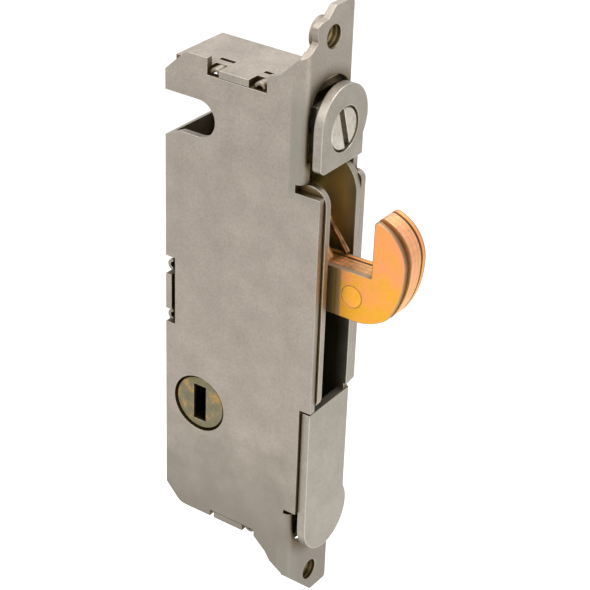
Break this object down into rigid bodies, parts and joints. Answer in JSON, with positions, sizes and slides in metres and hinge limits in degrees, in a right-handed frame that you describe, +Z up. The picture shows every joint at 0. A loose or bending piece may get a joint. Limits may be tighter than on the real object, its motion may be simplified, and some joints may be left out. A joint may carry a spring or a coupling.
{
  "type": "sliding patio door lock",
  "caption": "Narrow mortise lock for a sliding door: sheet steel case, swinging laminated hook on a screw-adjusted carriage, turned by a slotted hub.",
  "frame": {"origin": "on the outer face of the two ears, midway between the face screw holes", "axes": "+X out of the door edge, +Z up the door edge, -Y towards the cover side"},
  "size_m": [0.041, 0.0126, 0.1026],
  "materials": {
    "case_steel": "satin cold rolled steel, clear passivated",
    "carriage_steel": "satin steel sheet",
    "nut_steel": "turned and milled steel",
    "post_steel": "drawn steel, riveted",
    "screw_steel": "bright zinc plated steel",
    "hook_zinc": "yellow dichromate over zinc plate",
    "hook_core": "yellow dichromate with grey sheared edges",
    "rivet_steel": "peened steel rivet",
    "hub_brass": "dull yellow dichromate",
    "link_steel": "pierced steel strip",
    "spring_wire": "music wire"
  },
  "bodies": {
    "case": {"case_cover": "case_steel", "case_tray": "case_steel", "guide_posts": "post_steel", "adjusting_nut": "nut_steel"},
    "carriage": {"carriage_frame": "carriage_steel", "carriage_near_plate": "carriage_steel", "hook_pivot_pin": "post_steel", "pivot_washers": "post_steel", "spacer_rivets": "post_steel", "spring_post": "post_steel", "hook_spring": "spring_wire"},
    "screw": {"adjusting_screw": "screw_steel"},
    "hook": {"hook_near_leaf": "hook_zinc", "hook_second_leaf": "hook_core", "hook_core_leaf": "hook_core", "hook_fourth_leaf": "hook_core", "hook_far_leaf": "hook_zinc", "hook_rivet": "rivet_steel", "hook_bush": "rivet_steel", "hook_crank_pin": "rivet_steel"},
    "hub": {"hub": "hub_brass", "hub_crank": "link_steel", "hub_sleeve": "hub_brass", "hub_crank_pin": "rivet_steel", "crank_pin_ring": "spring_wire"},
    "link": {"link": "link_steel"}
  },
  "joints": [
    {"name": "carriage_slide", "type": "slide", "parent": "case", "child": "carriage", "axis": [1, 0, 0], "range_m": [0, 0.002]},
    {"name": "screw_turn", "type": "hinge", "parent": "carriage", "child": "screw", "pos_m": [0, 0, 0.0335], "axis": [1, 0, 0], "range_deg": [0, 907.1]},
    {"name": "hub_turn", "type": "hinge", "parent": "case", "child": "hub", "pos_m": [-0.01834, 0, -0.01826], "axis": [0, 1, 0], "range_deg": [0, 90]},
    {"name": "hook_swing", "type": "hinge", "parent": "carriage", "child": "hook", "pos_m": [-0.0075, 0, 0.012], "axis": [0, 1, 0], "range_deg": [0, 90], "deforming": ["hook_spring"]},
    {"name": "link_hinge", "type": "hinge", "parent": "hub", "child": "link", "pos_m": [-0.01255, 0, -0.01552], "axis": [0, 1, 0], "range_deg": [-90, 0]}
  ],
  "couplings": [
    {"joint": "screw_turn", "follows": "carriage_slide", "rad_per_m": 7915.8},
    {"joint": "hook_swing", "follows": "hub_turn", "ratio": 1},
    {"joint": "link_hinge", "follows": "hub_turn", "ratio": -1}
  ]
}
